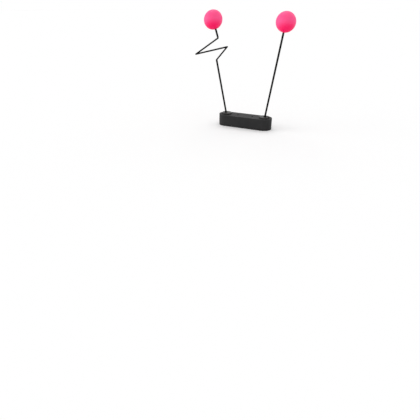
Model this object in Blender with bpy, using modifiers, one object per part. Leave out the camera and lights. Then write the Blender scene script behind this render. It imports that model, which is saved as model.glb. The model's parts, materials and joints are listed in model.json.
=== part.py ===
"""Rabbit ears antenna that stands in a panel, with one straight ear and one zigzag ear.

The moulded base hangs under the panel, so only the heads of its two turrets, the rods and
the balls show above it. Each turret swivels in a well of the base and carries its ear on a
hinge pin, between a wall that stops the ear upright and a ramp that stops it leaning out.
The right ear is a telescope of three sections. The left ear is a tube with a zigzag rod that
slides in it, made of straight strokes that meet in sharp mitred bends.

Frame: metres, +Z up, +X to the viewer's right, -Y towards the viewer. The origin is the
middle of the base's flat top, which bears on the underside of the panel. Both sides are
modelled alike, with local +X outward.
"""

import math

import bmesh
import bpy
from mathutils import Matrix, Vector

# Where the ears stand; angles are degrees, and a tilt leans outward from upright
PIVOT_SPACING = 0.095
PANEL_THICKNESS = 0.003
PIVOT_DEPTH = 0.009
LEFT_TILT = 12.5
RIGHT_TILT = 8.6
TILT_LIMIT = 45.0
SWIVEL_LIMIT = 90.0

# Clearances: sliding and pressed fits, turning fits, and pieces that rest on each other
RUN_GAP = 0.00005
TURN_GAP = 0.0002
SEAT_GAP = 0.0003

# Tubes and rods of the ears, measured from the hinge pin
TUBE_DIAMETER = 0.0042
TUBE_WALL = 0.0003
CRIMP_DEPTH = 0.0001
CRIMP_LENGTH = 0.002
FLARE_LENGTH = 0.004
SHOULDER_REACH = 0.008
PLUG_LENGTH = 0.012
PLUG_CHAMFER = 0.0001
RIGHT_BALL_REACH = 0.2060

# Zigzag: the bends where its strokes meet; reaches are out from the ear's axis, and rises are
# from the first bend
ZIGZAG_START = 0.1285
INNER_BEND_REACH = -0.0312
INNER_BEND_RISE = 0.0217
OUTER_BEND_REACH = 0.0500
OUTER_BEND_RISE = 0.0209
LAST_BEND_REACH = -0.0130
LAST_BEND_RISE = 0.0432
TIP_LEAN = 5.9

# Balls and the ferrules that hold them
BALL_DIAMETER = 0.0408
BALL_HEIGHT = 0.0390
SOCKET_DEPTH = 0.010
FERRULE_LENGTH = 0.0266
FERRULE_BORE_DEPTH = 0.012
FERRULE_CHAMFER = 0.0001

# Turret, hinge and swivel
TURRET_RADIUS = 0.012
TURRET_RIM = 0.0008
TURRET_WEB = 0.002
EYE_RADIUS = 0.0045
EYE_THICKNESS = 0.0044
PIN_RADIUS = 0.0015
PIN_INSET = 0.0006
HINGE_WASHER_INSET = 0.0005
HINGE_WASHER_THICKNESS = 0.0005
STEM_RADIUS = 0.003
STEM_PROUD = 0.0008
STOP_INSET = 0.0022
STOP_WIDTH = 0.0028
STOP_HEIGHT = 0.0015
STOP_HALF_ANGLE = 8.0
STOP_PLAY = 1.5
LUG_RADIUS = 0.0055
LUG_THICKNESS = 0.0006
LUG_TAIL_LENGTH = 0.013
LUG_TAIL_WIDTH = 0.004
WAVE_WASHER_RADIUS = 0.0055
WAVE_WASHER_THICKNESS = 0.0004
WAVE_HEIGHT = 0.0006
WAVE_COUNT = 3
SWIVEL_NUT_FLATS = 0.010
SWIVEL_NUT_HEIGHT = 0.0032

# Base
WELL_WALL = 0.0058
WELL_FLOOR = 0.003
BASE_WALL = 0.003
BASE_CEILING = 0.003
BASE_EDGE = 0.0012
COVER_THICKNESS = 0.0022
COVER_EDGE = 0.0008
STEM_CLEARANCE = 0.001
TUNNEL_SPACING = 0.036
TUNNEL_BORE_RADIUS = 0.0022
TUNNEL_WALL = 0.0016
BOSS_RADIUS = 0.0032
BOSS_INSET_X = 0.0043
BOSS_INSET_Y = 0.0024
COVER_SCREW_RADIUS = 0.0013
COVER_SCREW_LENGTH = 0.012
COVER_SCREW_HEAD_RADIUS = 0.0027
COVER_SCREW_HEAD_HEIGHT = 0.0014
SLOT_WIDTH = 0.0007
SLOT_DEPTH = 0.0007

# Terminals in the rear wall, and the wires to them
TERMINAL_SPACING = 0.016
TERMINAL_SCREW_RADIUS = 0.0015
TERMINAL_HEAD_RADIUS = 0.003
TERMINAL_HEAD_HEIGHT = 0.0021
TERMINAL_HEAD_RIM = 0.0008
TERMINAL_CLAMP_SIZE = 0.0075
TERMINAL_CLAMP_THICKNESS = 0.0008
TERMINAL_NUT_FLATS = 0.0055
TERMINAL_NUT_HEIGHT = 0.0024
TERMINAL_SCREW_PROUD = 0.0015
WIRE_RADIUS = 0.0006
WIRE_LEAD = 0.004

# Facets, and the angles between faces that are sharp or get a rounded edge
ROD_SIDES = 16
ROUND_SIDES = 20
TURRET_SIDES = 36
BALL_SIDES = 32
BALL_BANDS = 7
ARC_STEP = 10.0
BEND_STEP = 18.0
WAVE_SIDES = 12
WIRE_PIECES = 5
SHARP_ANGLE = 30.0
EDGE_ANGLE = 50.0
WELD = 0.000001
OVERSHOOT = 0.004

# Radii of the sections that slide in each other
TUBE_RADIUS = TUBE_DIAMETER / 2
TUBE_BORE = TUBE_RADIUS - TUBE_WALL
SLIDER_RADIUS = TUBE_BORE - CRIMP_DEPTH - RUN_GAP
SLIDER_FLARE = TUBE_BORE - RUN_GAP
SLIDER_BORE = SLIDER_RADIUS - TUBE_WALL
CORE_RADIUS = SLIDER_BORE - CRIMP_DEPTH - RUN_GAP
CORE_FLARE = SLIDER_BORE - RUN_GAP
BALL_RADIUS = BALL_DIAMETER / 2
SOCKET_TOP = -BALL_HEIGHT / 2 + SOCKET_DEPTH
FERRULE_TOP = SOCKET_TOP - SEAT_GAP
FERRULE_BOTTOM = FERRULE_TOP - FERRULE_LENGTH
SLIDER_START = SHOULDER_REACH + PLUG_LENGTH + SEAT_GAP
RIGHT_TUBE_TOP = RIGHT_BALL_REACH + FERRULE_BOTTOM - SEAT_GAP
HINGE_WASHER_RADIUS = EYE_RADIUS - HINGE_WASHER_INSET

# Heights from the base's top down to its cover
PIVOT_Z = PANEL_THICKNESS - PIVOT_DEPTH
TURRET_BOTTOM = PIVOT_Z - EYE_RADIUS - SEAT_GAP - TURRET_WEB
WELL_BOTTOM = TURRET_BOTTOM - SEAT_GAP
FLOOR_UNDERSIDE = WELL_BOTTOM - WELL_FLOOR
LUG_TOP = FLOOR_UNDERSIDE - SEAT_GAP
WAVE_TOP = LUG_TOP - LUG_THICKNESS - SEAT_GAP
WAVE_MIDDLE = WAVE_TOP - (WAVE_WASHER_THICKNESS + WAVE_HEIGHT) / 2
NUT_TOP = WAVE_TOP - WAVE_WASHER_THICKNESS - WAVE_HEIGHT - SEAT_GAP
STEM_BOTTOM = NUT_TOP - SWIVEL_NUT_HEIGHT - STEM_PROUD
COVER_TOP = STEM_BOTTOM - STEM_CLEARANCE
HOUSING_BOTTOM = COVER_TOP + SEAT_GAP
COVER_BOTTOM = COVER_TOP - COVER_THICKNESS

# Plan of the base
HALF_SPACING = PIVOT_SPACING / 2
WELL_RADIUS = TURRET_RADIUS + TURN_GAP
BASE_RADIUS = WELL_RADIUS + WELL_WALL
CAVITY_RADIUS = BASE_RADIUS - BASE_WALL
MIDDLE_HALF_LENGTH = HALF_SPACING - WELL_RADIUS - BASE_WALL
BOSS_X = MIDDLE_HALF_LENGTH - BOSS_INSET_X
BOSS_Y = CAVITY_RADIUS - BOSS_INSET_Y
BOSS_PLACES = [(x, y) for x in (-BOSS_X, BOSS_X) for y in (-BOSS_Y, BOSS_Y)]
STOP_OUTER = TURRET_RADIUS - STOP_INSET
STOP_INNER = STOP_OUTER - STOP_WIDTH
TERMINAL_Z = HOUSING_BOTTOM / 2
TERMINAL_INNER_END = CAVITY_RADIUS - SEAT_GAP - TERMINAL_NUT_HEIGHT - TERMINAL_SCREW_PROUD

# Finishes: colour, roughness and metallic value
FINISHES = {
    "rod_black": ((0.006, 0.006, 0.006), 0.45, 0.0),
    "ball_pink": ((1.0, 0.055, 0.21), 0.55, 0.0),
    "base_charcoal": ((0.028, 0.028, 0.029), 0.6, 0.0),
    "blackened_metal": ((0.012, 0.012, 0.012), 0.4, 0.6),
    "brass": ((0.60, 0.42, 0.16), 0.32, 1.0),
    "spring_steel": ((0.45, 0.45, 0.46), 0.3, 1.0),
    "wire_sleeve": ((0.02, 0.02, 0.02), 0.5, 0.0),
}


def clear_scene():
    for obj in list(bpy.data.objects):
        bpy.data.objects.remove(obj, do_unlink=True)


def new_collection(name):
    collection = bpy.data.collections.new(name)
    bpy.context.scene.collection.children.link(collection)
    return collection


def new_material(name):
    colour, roughness, metallic = FINISHES[name]
    material = bpy.data.materials.new(name)
    material.use_nodes = True
    shader = material.node_tree.nodes["Principled BSDF"]
    shader.inputs["Base Color"].default_value = (*colour, 1.0)
    shader.inputs["Roughness"].default_value = roughness
    shader.inputs["Metallic"].default_value = metallic
    return material


clear_scene()
PARTS = new_collection("rabbit_ears_antenna")
CUTTERS = new_collection("cutters")
MATERIALS = {name: new_material(name) for name in FINISHES}


def place(obj, collection, parent=None, location=(0, 0, 0), rotation=(0, 0, 0)):
    collection.objects.link(obj)
    obj.parent = parent
    obj.location = location
    obj.rotation_euler = rotation
    return obj


def add_part(obj, finish, parent=None, location=(0, 0, 0), rotation=(0, 0, 0)):
    obj.data.materials.append(MATERIALS[finish])
    if isinstance(obj.data, bpy.types.Mesh) and obj.data.polygons:
        obj.data.shade_smooth()
        obj.data.set_sharp_from_angle(angle=math.radians(SHARP_ANGLE))
    return place(obj, PARTS, parent, location, rotation)


def add_cutter(obj, parent=None, location=(0, 0, 0), rotation=(0, 0, 0)):
    obj.hide_render = True
    obj.display_type = "WIRE"
    return place(obj, CUTTERS, parent, location, rotation)


def add_frame(name, parent=None, location=(0, 0, 0), rotation=(0, 0, 0)):
    frame = bpy.data.objects.new(name, None)
    frame.empty_display_size = BALL_RADIUS
    return place(frame, PARTS, parent, location, rotation)


def combine(target, operation, tools):
    """Boolean of the target with all of the tools at once, and a weld of what it leaves."""
    group = bpy.data.collections.new(f"{target.name}_{operation.lower()}")
    CUTTERS.children.link(group)
    for tool in tools:
        group.objects.link(tool)
    modifier = target.modifiers.new(operation.title(), "BOOLEAN")
    modifier.operation = operation
    modifier.solver = "EXACT"
    modifier.operand_type = "COLLECTION"
    modifier.collection = group
    weld = target.modifiers.new("Weld", "WELD")
    weld.merge_threshold = WELD


def round_edges(obj, width, segments):
    bevel = obj.modifiers.new("Edges", "BEVEL")
    bevel.width = width
    bevel.segments = segments
    bevel.limit_method = "ANGLE"
    bevel.angle_limit = math.radians(EDGE_ANGLE)


def lathe(name, profile, closed=False, sides=ROUND_SIDES):
    """Profile of (radius, height) turned about Z; it runs down its outer side."""
    edges = [(i, i + 1) for i in range(len(profile) - 1)]
    if closed:
        edges.append((len(profile) - 1, 0))
    mesh = bpy.data.meshes.new(name)
    mesh.from_pydata([(radius, 0, height) for radius, height in profile], edges, [])
    obj = bpy.data.objects.new(name, mesh)
    screw = obj.modifiers.new("Turn", "SCREW")
    screw.steps = sides
    screw.render_steps = sides
    screw.use_merge_vertices = True
    screw.merge_threshold = WELD
    return obj


def rod(name, radius, low, high, sides=ROUND_SIDES):
    return lathe(name, [(0, high), (radius, high), (radius, low), (0, low)], sides=sides)


def box(name, low, high):
    mesh = bpy.data.meshes.new(name)
    form = bmesh.new()
    bmesh.ops.create_cube(form, size=1)
    low = Vector(low)
    high = Vector(high)
    bmesh.ops.scale(form, verts=form.verts, vec=high - low)
    bmesh.ops.translate(form, verts=form.verts, vec=(low + high) / 2)
    form.to_mesh(mesh)
    form.free()
    return bpy.data.objects.new(name, mesh)


def arc(centre, radius, start, end, step=ARC_STEP):
    """Points on an arc, angles in degrees, both ends included."""
    count = max(2, math.ceil(abs(end - start) / step))
    angles = [math.radians(start + (end - start) * i / count) for i in range(count + 1)]
    return [(centre[0] + radius * math.cos(a), centre[1] + radius * math.sin(a)) for a in angles]


def circle(radius, sides=ROUND_SIDES):
    return arc((0, 0), radius, 0, 360 - 360 / sides, step=360 / sides)


def hexagon(flats):
    return circle(flats / math.sqrt(3), sides=6)


def stadium(half_spacing, radius):
    return arc((half_spacing, 0), radius, -90, 90) + arc((-half_spacing, 0), radius, 90, 270)


def sector(inner, outer, middle, half_angle):
    """Part of a ring, about a middle direction in degrees."""
    low = middle - half_angle
    high = middle + half_angle
    return arc((0, 0), outer, low, high) + arc((0, 0), inner, high, low)


def prism(name, outlines, low, high):
    """Flat outlines in XY, filled and extruded from low to high; inner outlines are holes."""
    curve = bpy.data.curves.new(name, "CURVE")
    curve.dimensions = "2D"
    curve.fill_mode = "BOTH"
    curve.extrude = (high - low) / 2
    for outline in outlines:
        spline = curve.splines.new("POLY")
        spline.points.add(len(outline) - 1)
        spline.use_cyclic_u = True
        for point, (x, y) in zip(spline.points, outline):
            point.co = (x, y, 0, 1)
    carrier = place(bpy.data.objects.new(f"{name}_outline", curve), CUTTERS)
    evaluated = carrier.evaluated_get(bpy.context.evaluated_depsgraph_get())
    mesh = bpy.data.meshes.new_from_object(evaluated)
    mesh.name = name
    bpy.data.objects.remove(carrier, do_unlink=True)
    form = bmesh.new()
    form.from_mesh(mesh)
    bmesh.ops.remove_doubles(form, verts=form.verts, dist=WELD)
    bmesh.ops.translate(form, verts=form.verts, vec=(0, 0, (low + high) / 2))
    form.to_mesh(mesh)
    form.free()
    return bpy.data.objects.new(name, mesh)


ALONG_Y = (math.radians(-90), 0, 0)
XZ_PLANE = (math.radians(90), 0, 0)


def tube_profile(outer, bore, low, high):
    """Ring profile of a tube whose mouth is rolled in over its last stretch."""
    mouth = bore - CRIMP_DEPTH
    return [
        (mouth, high),
        (outer - CRIMP_DEPTH, high),
        (outer, high - CRIMP_DEPTH),
        (outer, low),
        (bore, low),
        (bore, high - CRIMP_LENGTH),
        (mouth, high - CRIMP_LENGTH / 2),
    ]


def make_knuckle(side, ear):
    """Hinge eye with a neck, and a plug that is pressed into the tube."""
    plug = TUBE_BORE - RUN_GAP
    top = SHOULDER_REACH + PLUG_LENGTH
    profile = [
        (0, top),
        (plug - PLUG_CHAMFER, top),
        (plug, top - PLUG_CHAMFER),
        (plug, SHOULDER_REACH),
        (TUBE_RADIUS, SHOULDER_REACH),
        (TUBE_RADIUS, 0),
        (0, 0),
    ]
    half = EYE_THICKNESS / 2
    knuckle = add_part(lathe(f"knuckle_{side}", profile, sides=ROD_SIDES), "blackened_metal", ear)
    eye = add_cutter(rod(f"eye_{side}", EYE_RADIUS, -half, half), ear, rotation=ALONG_Y)
    hole = rod(f"eye_hole_{side}", PIN_RADIUS + TURN_GAP, -half - OVERSHOOT, half + OVERSHOOT)
    add_cutter(hole, ear, rotation=ALONG_Y)
    combine(knuckle, "UNION", [eye])
    combine(knuckle, "DIFFERENCE", [hole])


def make_hinge_washers(side, ear):
    outline = [circle(HINGE_WASHER_RADIUS), circle(PIN_RADIUS + TURN_GAP)]
    inner_face = EYE_THICKNESS / 2 + TURN_GAP
    for name, direction in (("front", -1), ("back", 1)):
        faces = sorted((direction * inner_face, direction * (inner_face + HINGE_WASHER_THICKNESS)))
        washer = prism(f"hinge_washer_{side}_{name}", outline, *faces)
        add_part(washer, "spring_steel", ear, rotation=ALONG_Y)


def slot_outline():
    """The turret's slot, seen along the hinge pin, which is at (0, 0).

    A round pocket holds the eye. An upright wall and a ramp stop the neck at its two limits.
    """
    pocket = EYE_RADIUS + SEAT_GAP
    neck = TUBE_RADIUS + SEAT_GAP
    along = math.sqrt(pocket**2 - neck**2)
    lean = math.radians(TILT_LIMIT)
    direction = Vector((math.sin(lean), math.cos(lean)))
    ramp_side = Vector((math.cos(lean), -math.sin(lean))) * neck
    ramp_start = ramp_side + direction * along
    ramp_run = (TURRET_RADIUS + OVERSHOOT - ramp_side.x) / direction.x
    ramp_end = ramp_side + direction * ramp_run
    top = max(PIVOT_DEPTH, ramp_end.y) + OVERSHOOT
    wall_angle = math.degrees(math.atan2(along, -neck))
    ramp_angle = 360 + math.degrees(math.atan2(ramp_start.y, ramp_start.x))
    pocket_arc = arc((0, 0), pocket, wall_angle, ramp_angle)
    return [(-neck, top), *pocket_arc, tuple(ramp_end), (ramp_end.x, top)]


def make_turret(side, swivel):
    """Slotted head with a stem, and a lug below that runs in the base's stop groove."""
    profile = [
        (0, PANEL_THICKNESS),
        (TURRET_RADIUS - TURRET_RIM, PANEL_THICKNESS),
        (TURRET_RADIUS, PANEL_THICKNESS - TURRET_RIM),
        (TURRET_RADIUS, TURRET_BOTTOM),
        (STEM_RADIUS, TURRET_BOTTOM),
        (STEM_RADIUS, STEM_BOTTOM),
        (0, STEM_BOTTOM),
    ]
    turret = add_part(lathe(f"turret_{side}", profile, sides=TURRET_SIDES), "blackened_metal", swivel)
    pin_level = (0, 0, PIVOT_Z)
    half_slot = EYE_THICKNESS / 2 + HINGE_WASHER_THICKNESS + 2 * TURN_GAP
    slot = prism(f"slot_{side}", [slot_outline()], -half_slot, half_slot)
    add_cutter(slot, swivel, pin_level, XZ_PLANE)
    bore_reach = TURRET_RADIUS + OVERSHOOT
    bore = rod(f"pin_bore_{side}", PIN_RADIUS + RUN_GAP, -bore_reach, bore_reach)
    add_cutter(bore, swivel, pin_level, ALONG_Y)
    stop_outline = sector(STOP_INNER, STOP_OUTER, 180, STOP_HALF_ANGLE)
    stop_root = TURRET_BOTTOM + TURRET_WEB / 2
    stop = prism(f"stop_{side}", [stop_outline], TURRET_BOTTOM - STOP_HEIGHT, stop_root)
    add_cutter(stop, swivel)
    combine(turret, "DIFFERENCE", [slot, bore])
    combine(turret, "UNION", [stop])


def make_hinge_pin(side, swivel):
    half = math.sqrt(TURRET_RADIUS**2 - PIN_RADIUS**2) - PIN_INSET
    pin = rod(f"hinge_pin_{side}", PIN_RADIUS, -half, half)
    add_part(pin, "spring_steel", swivel, (0, 0, PIVOT_Z), ALONG_Y)


def make_swivel_nut(side, swivel):
    outline = [hexagon(SWIVEL_NUT_FLATS), circle(STEM_RADIUS + RUN_GAP)]
    nut = prism(f"swivel_nut_{side}", outline, NUT_TOP - SWIVEL_NUT_HEIGHT, NUT_TOP)
    add_part(nut, "brass", swivel)


def make_wave_washer(side, swivel):
    """Ring that waves up and down, pressed between the lug and the nut."""
    name = f"wave_washer_{side}"
    form = bmesh.new()
    for radius in (STEM_RADIUS + TURN_GAP, WAVE_WASHER_RADIUS):
        bmesh.ops.create_circle(form, segments=WAVE_SIDES * WAVE_COUNT, radius=radius)
    bmesh.ops.bridge_loops(form, edges=form.edges)
    bmesh.ops.recalc_face_normals(form, faces=form.faces)
    for vertex in form.verts:
        turn = math.atan2(vertex.co.y, vertex.co.x)
        vertex.co.z = WAVE_MIDDLE + WAVE_HEIGHT / 2 * math.cos(WAVE_COUNT * turn)
    mesh = bpy.data.meshes.new(name)
    form.to_mesh(mesh)
    form.free()
    washer = add_part(bpy.data.objects.new(name, mesh), "spring_steel", swivel)
    thicken = washer.modifiers.new("Thickness", "SOLIDIFY")
    thicken.thickness = WAVE_WASHER_THICKNESS
    thicken.offset = 0


def make_solder_lug(side, place_frame):
    """Ring under the well's floor, with a tail that points to the middle of the base."""
    half_width = LUG_TAIL_WIDTH / 2
    meet = math.degrees(math.asin(half_width / LUG_RADIUS))
    outline = arc((0, 0), LUG_RADIUS, -180 + meet, 180 - meet)
    outline += [(-LUG_TAIL_LENGTH, half_width), (-LUG_TAIL_LENGTH, -half_width)]
    outlines = [outline, circle(STEM_RADIUS + TURN_GAP)]
    lug = prism(f"solder_lug_{side}", outlines, LUG_TOP - LUG_THICKNESS, LUG_TOP)
    add_part(lug, "brass", place_frame)


def make_straight_ear(ear):
    """Right ear: an outer tube, and two sections pushed in, the core with a ferrule."""
    tube = lathe(
        "outer_tube_right",
        tube_profile(TUBE_RADIUS, TUBE_BORE, SHOULDER_REACH + SEAT_GAP, RIGHT_TUBE_TOP),
        closed=True,
        sides=ROD_SIDES,
    )
    add_part(tube, "rod_black", ear)
    section = tube_profile(SLIDER_RADIUS, SLIDER_BORE, SLIDER_START, RIGHT_TUBE_TOP - SEAT_GAP)
    flare_top = SLIDER_START + FLARE_LENGTH
    section[3:4] = [
        (SLIDER_RADIUS, flare_top),
        (SLIDER_FLARE, flare_top - CRIMP_DEPTH),
        (SLIDER_FLARE, SLIDER_START),
    ]
    add_part(lathe("middle_tube_right", section, closed=True, sides=ROD_SIDES), "rod_black", ear)
    core_start = SLIDER_START + SEAT_GAP
    core_top = RIGHT_BALL_REACH + FERRULE_BOTTOM + FERRULE_BORE_DEPTH - SEAT_GAP
    core_flare_top = core_start + FLARE_LENGTH
    core = [
        (0, core_top),
        (CORE_RADIUS, core_top),
        (CORE_RADIUS, core_flare_top),
        (CORE_FLARE, core_flare_top - CRIMP_DEPTH),
        (CORE_FLARE, core_start),
        (0, core_start),
    ]
    add_part(lathe("inner_rod_right", core, sides=ROD_SIDES), "rod_black", ear)


def turn_between(arriving, leaving):
    return math.atan2(arriving.cross(leaving), arriving.dot(leaving))


def bare_length(turn):
    """How far from a bend a tube's end stays, to clear the stroke on the bend's other side."""
    reach = SLIDER_RADIUS + SEAT_GAP - TUBE_RADIUS * math.cos(turn)
    return reach / math.sin(abs(turn))


def zigzag_bends():
    """Corners of the zigzag's four bends in the ear's frame, as (outward, along) pairs."""
    reaches = (0, INNER_BEND_REACH, OUTER_BEND_REACH, LAST_BEND_REACH)
    rises = (0, INNER_BEND_RISE, OUTER_BEND_RISE, LAST_BEND_RISE)
    return [Vector((reach, ZIGZAG_START + rise)) for reach, rise in zip(reaches, rises)]


def zigzag_tip():
    """Heading of the zigzag's tip, where the ferrule on it starts, and the ball's centre."""
    outer, last = zigzag_bends()[2:]
    lean = math.radians(TIP_LEAN)
    heading = Vector((math.sin(lean), math.cos(lean)))
    ferrule_start = last + heading * bare_length(turn_between(last - outer, heading))
    return heading, ferrule_start, ferrule_start - heading * FERRULE_BOTTOM


def straight_ring(middle, heading, radius):
    """Points round a straight stroke, in the XZ plane's frame."""
    right = Vector((heading.y, -heading.x))
    ring = [(middle + right * across, depth) for across, depth in circle(radius, ROD_SIDES)]
    return [(point.x, depth, point.y) for point, depth in ring]


def bend_rings(corner, arriving, leaving):
    """Rings of points round a sharp bend, from the end of one stroke to the start of the next.

    Outside the bend the rings turn about its corner and round it off. Inside the bend they all
    lie on the mitre where the two strokes meet.
    """
    turn = turn_between(arriving, leaving)
    mitre = (leaving - arriving).normalized() / math.cos(turn / 2)
    count = math.ceil(math.degrees(abs(turn)) / BEND_STEP)
    rings = []
    for i in range(count + 1):
        heading = Matrix.Rotation(turn * i / count, 2) @ arriving
        right = Vector((heading.y, -heading.x))
        ring = []
        for across, depth in circle(SLIDER_RADIUS, ROD_SIDES):
            outside = across * turn > 0
            point = corner + (right * across if outside else mitre * abs(across))
            ring.append((point.x, depth, point.y))
        rings.append(ring)
    return rings


def zigzag_rings():
    """Rings of points along the zigzag rod, from its flared foot to its end in the ferrule."""
    bends = zigzag_bends()
    tip_heading, ferrule_start, _ = zigzag_tip()
    foot = Vector((0, SLIDER_START))
    end = ferrule_start + tip_heading * (FERRULE_BORE_DEPTH - SEAT_GAP)
    corners = [foot, *bends, end]
    headings = [(after - before).normalized() for before, after in zip(corners, corners[1:])]
    flare = [
        (0, SLIDER_FLARE),
        (FLARE_LENGTH - CRIMP_DEPTH, SLIDER_FLARE),
        (FLARE_LENGTH, SLIDER_RADIUS),
    ]
    rings = [straight_ring(foot + headings[0] * run, headings[0], radius) for run, radius in flare]
    for bend, arriving, leaving in zip(bends, headings, headings[1:]):
        rings += bend_rings(bend, arriving, leaving)
    rings.append(straight_ring(end, headings[-1], SLIDER_RADIUS))
    return rings


def skin(name, rings):
    """Closed skin over rings of points, with the points that fall together welded."""
    form = bmesh.new()
    rings = [[form.verts.new(point) for point in ring] for ring in rings]
    for low, high in zip(rings, rings[1:]):
        for i in range(len(low)):
            form.faces.new((low[i - 1], low[i], high[i], high[i - 1]))
    form.faces.new(reversed(rings[0]))
    form.faces.new(rings[-1])
    bmesh.ops.remove_doubles(form, verts=form.verts, dist=WELD)
    mesh = bpy.data.meshes.new(name)
    form.to_mesh(mesh)
    form.free()
    return bpy.data.objects.new(name, mesh)


def make_zigzag_ear(ear):
    """Left ear: a lower tube, and the zigzag rod whose flared shank slides in it."""
    first, inner = zigzag_bends()[:2]
    tube_top = ZIGZAG_START - bare_length(turn_between(Vector((0, 1)), inner - first))
    profile = tube_profile(TUBE_RADIUS, TUBE_BORE, SHOULDER_REACH + SEAT_GAP, tube_top)
    add_part(lathe("lower_tube_left", profile, closed=True, sides=ROD_SIDES), "rod_black", ear)
    add_part(skin("zigzag_rod_left", zigzag_rings()), "rod_black", ear)


def make_tip(side, rod_radius, tip):
    """Ferrule and ball; the tip's frame is at the ball's centre, with -Z down the rod."""
    bore = rod_radius + RUN_GAP
    bore_top = FERRULE_BOTTOM + FERRULE_BORE_DEPTH
    ferrule = [
        (0, FERRULE_TOP),
        (TUBE_RADIUS - FERRULE_CHAMFER, FERRULE_TOP),
        (TUBE_RADIUS, FERRULE_TOP - FERRULE_CHAMFER),
        (TUBE_RADIUS, FERRULE_BOTTOM),
        (bore, FERRULE_BOTTOM),
        (bore, bore_top),
        (0, bore_top),
    ]
    add_part(lathe(f"tip_ferrule_{side}", ferrule, sides=ROD_SIDES), "rod_black", tip)
    socket = TUBE_RADIUS + TURN_GAP
    mouth_angle = -90 + math.degrees(math.asin(socket / BALL_RADIUS))
    band = 90 / BALL_BANDS
    round_side = arc((0, 0), BALL_RADIUS, 90, 0, band) + arc((0, 0), BALL_RADIUS, 0, mouth_angle, band)[1:]
    ball = [(radius, height * BALL_HEIGHT / BALL_DIAMETER) for radius, height in round_side]
    ball[0] = (0, BALL_HEIGHT / 2)
    ball += [(socket, SOCKET_TOP), (0, SOCKET_TOP)]
    add_part(lathe(f"tip_ball_{side}", ball, sides=BALL_SIDES), "ball_pink", tip)


def make_housing(frames):
    """Moulded body: a solid round each well, hollow between the wells and below their floors."""
    housing = prism("base_housing", [stadium(HALF_SPACING, BASE_RADIUS)], HOUSING_BOTTOM, 0)
    add_part(housing, "base_charcoal")
    round_edges(housing, BASE_EDGE, segments=2)
    below = HOUSING_BOTTOM - OVERSHOOT
    low_hollow = prism("low_hollow", [stadium(HALF_SPACING, CAVITY_RADIUS)], below, FLOOR_UNDERSIDE)
    middle_hollow = box(
        "middle_hollow",
        (-MIDDLE_HALF_LENGTH, -CAVITY_RADIUS, below),
        (MIDDLE_HALF_LENGTH, CAVITY_RADIUS, -BASE_CEILING),
    )
    hollows = [add_cutter(low_hollow), add_cutter(middle_hollow)]
    posts = []
    holes = []
    post_top = -BASE_CEILING / 2
    screw_top = COVER_BOTTOM + COVER_SCREW_LENGTH
    post_bottom = HOUSING_BOTTOM + SEAT_GAP
    for i, (x, y) in enumerate(BOSS_PLACES, 1):
        posts.append(add_cutter(rod(f"boss_{i}", BOSS_RADIUS, post_bottom, post_top), location=(x, y, 0)))
        hole = rod(f"boss_hole_{i}", COVER_SCREW_RADIUS + RUN_GAP, below, screw_top + SEAT_GAP)
        holes.append(add_cutter(hole, location=(x, y, 0)))
    for side, x in (("left", -TUNNEL_SPACING / 2), ("right", TUNNEL_SPACING / 2)):
        post = rod(f"tunnel_{side}", TUNNEL_BORE_RADIUS + TUNNEL_WALL, post_bottom, post_top)
        posts.append(add_cutter(post, location=(x, 0, 0)))
        bore = rod(f"tunnel_bore_{side}", TUNNEL_BORE_RADIUS, below, OVERSHOOT)
        holes.append(add_cutter(bore, location=(x, 0, 0)))
        hole_ends = (CAVITY_RADIUS - OVERSHOOT / 2, BASE_RADIUS + OVERSHOOT)
        terminal = rod(f"terminal_hole_{side}", TERMINAL_SCREW_RADIUS + RUN_GAP, *hole_ends)
        holes.append(add_cutter(terminal, location=terminal_place(side), rotation=ALONG_Y))
    groove_reach = SWIVEL_LIMIT + STOP_HALF_ANGLE + STOP_PLAY
    groove_outline = sector(STOP_INNER - TURN_GAP, STOP_OUTER + TURN_GAP, 180, groove_reach)
    groove_bottom = TURRET_BOTTOM - STOP_HEIGHT - SEAT_GAP
    for side, frame in frames.items():
        well = rod(f"well_{side}", WELL_RADIUS, WELL_BOTTOM, OVERSHOOT, TURRET_SIDES)
        stem_hole = rod(f"stem_hole_{side}", STEM_RADIUS + TURN_GAP, below, OVERSHOOT)
        groove = prism(f"groove_{side}", [groove_outline], groove_bottom, OVERSHOOT)
        holes += [add_cutter(hole, frame) for hole in (well, stem_hole, groove)]
    combine(housing, "DIFFERENCE", hollows)
    combine(housing, "UNION", posts)
    combine(housing, "DIFFERENCE", holes)


def terminal_place(side):
    sign = -1 if side == "left" else 1
    return (sign * TERMINAL_SPACING / 2, 0, TERMINAL_Z)


def cover_screw_profile(gap):
    """Countersunk screw, head down; a gap makes it the clearance for the same screw."""
    top = COVER_BOTTOM + COVER_SCREW_LENGTH + gap
    cone = COVER_BOTTOM + COVER_SCREW_HEAD_HEIGHT + gap
    foot = COVER_BOTTOM - (OVERSHOOT if gap else 0)
    return [
        (0, top),
        (COVER_SCREW_RADIUS + gap, top),
        (COVER_SCREW_RADIUS + gap, cone),
        (COVER_SCREW_HEAD_RADIUS + gap, COVER_BOTTOM + gap),
        (COVER_SCREW_HEAD_RADIUS + gap, foot),
        (0, foot),
    ]


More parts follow.
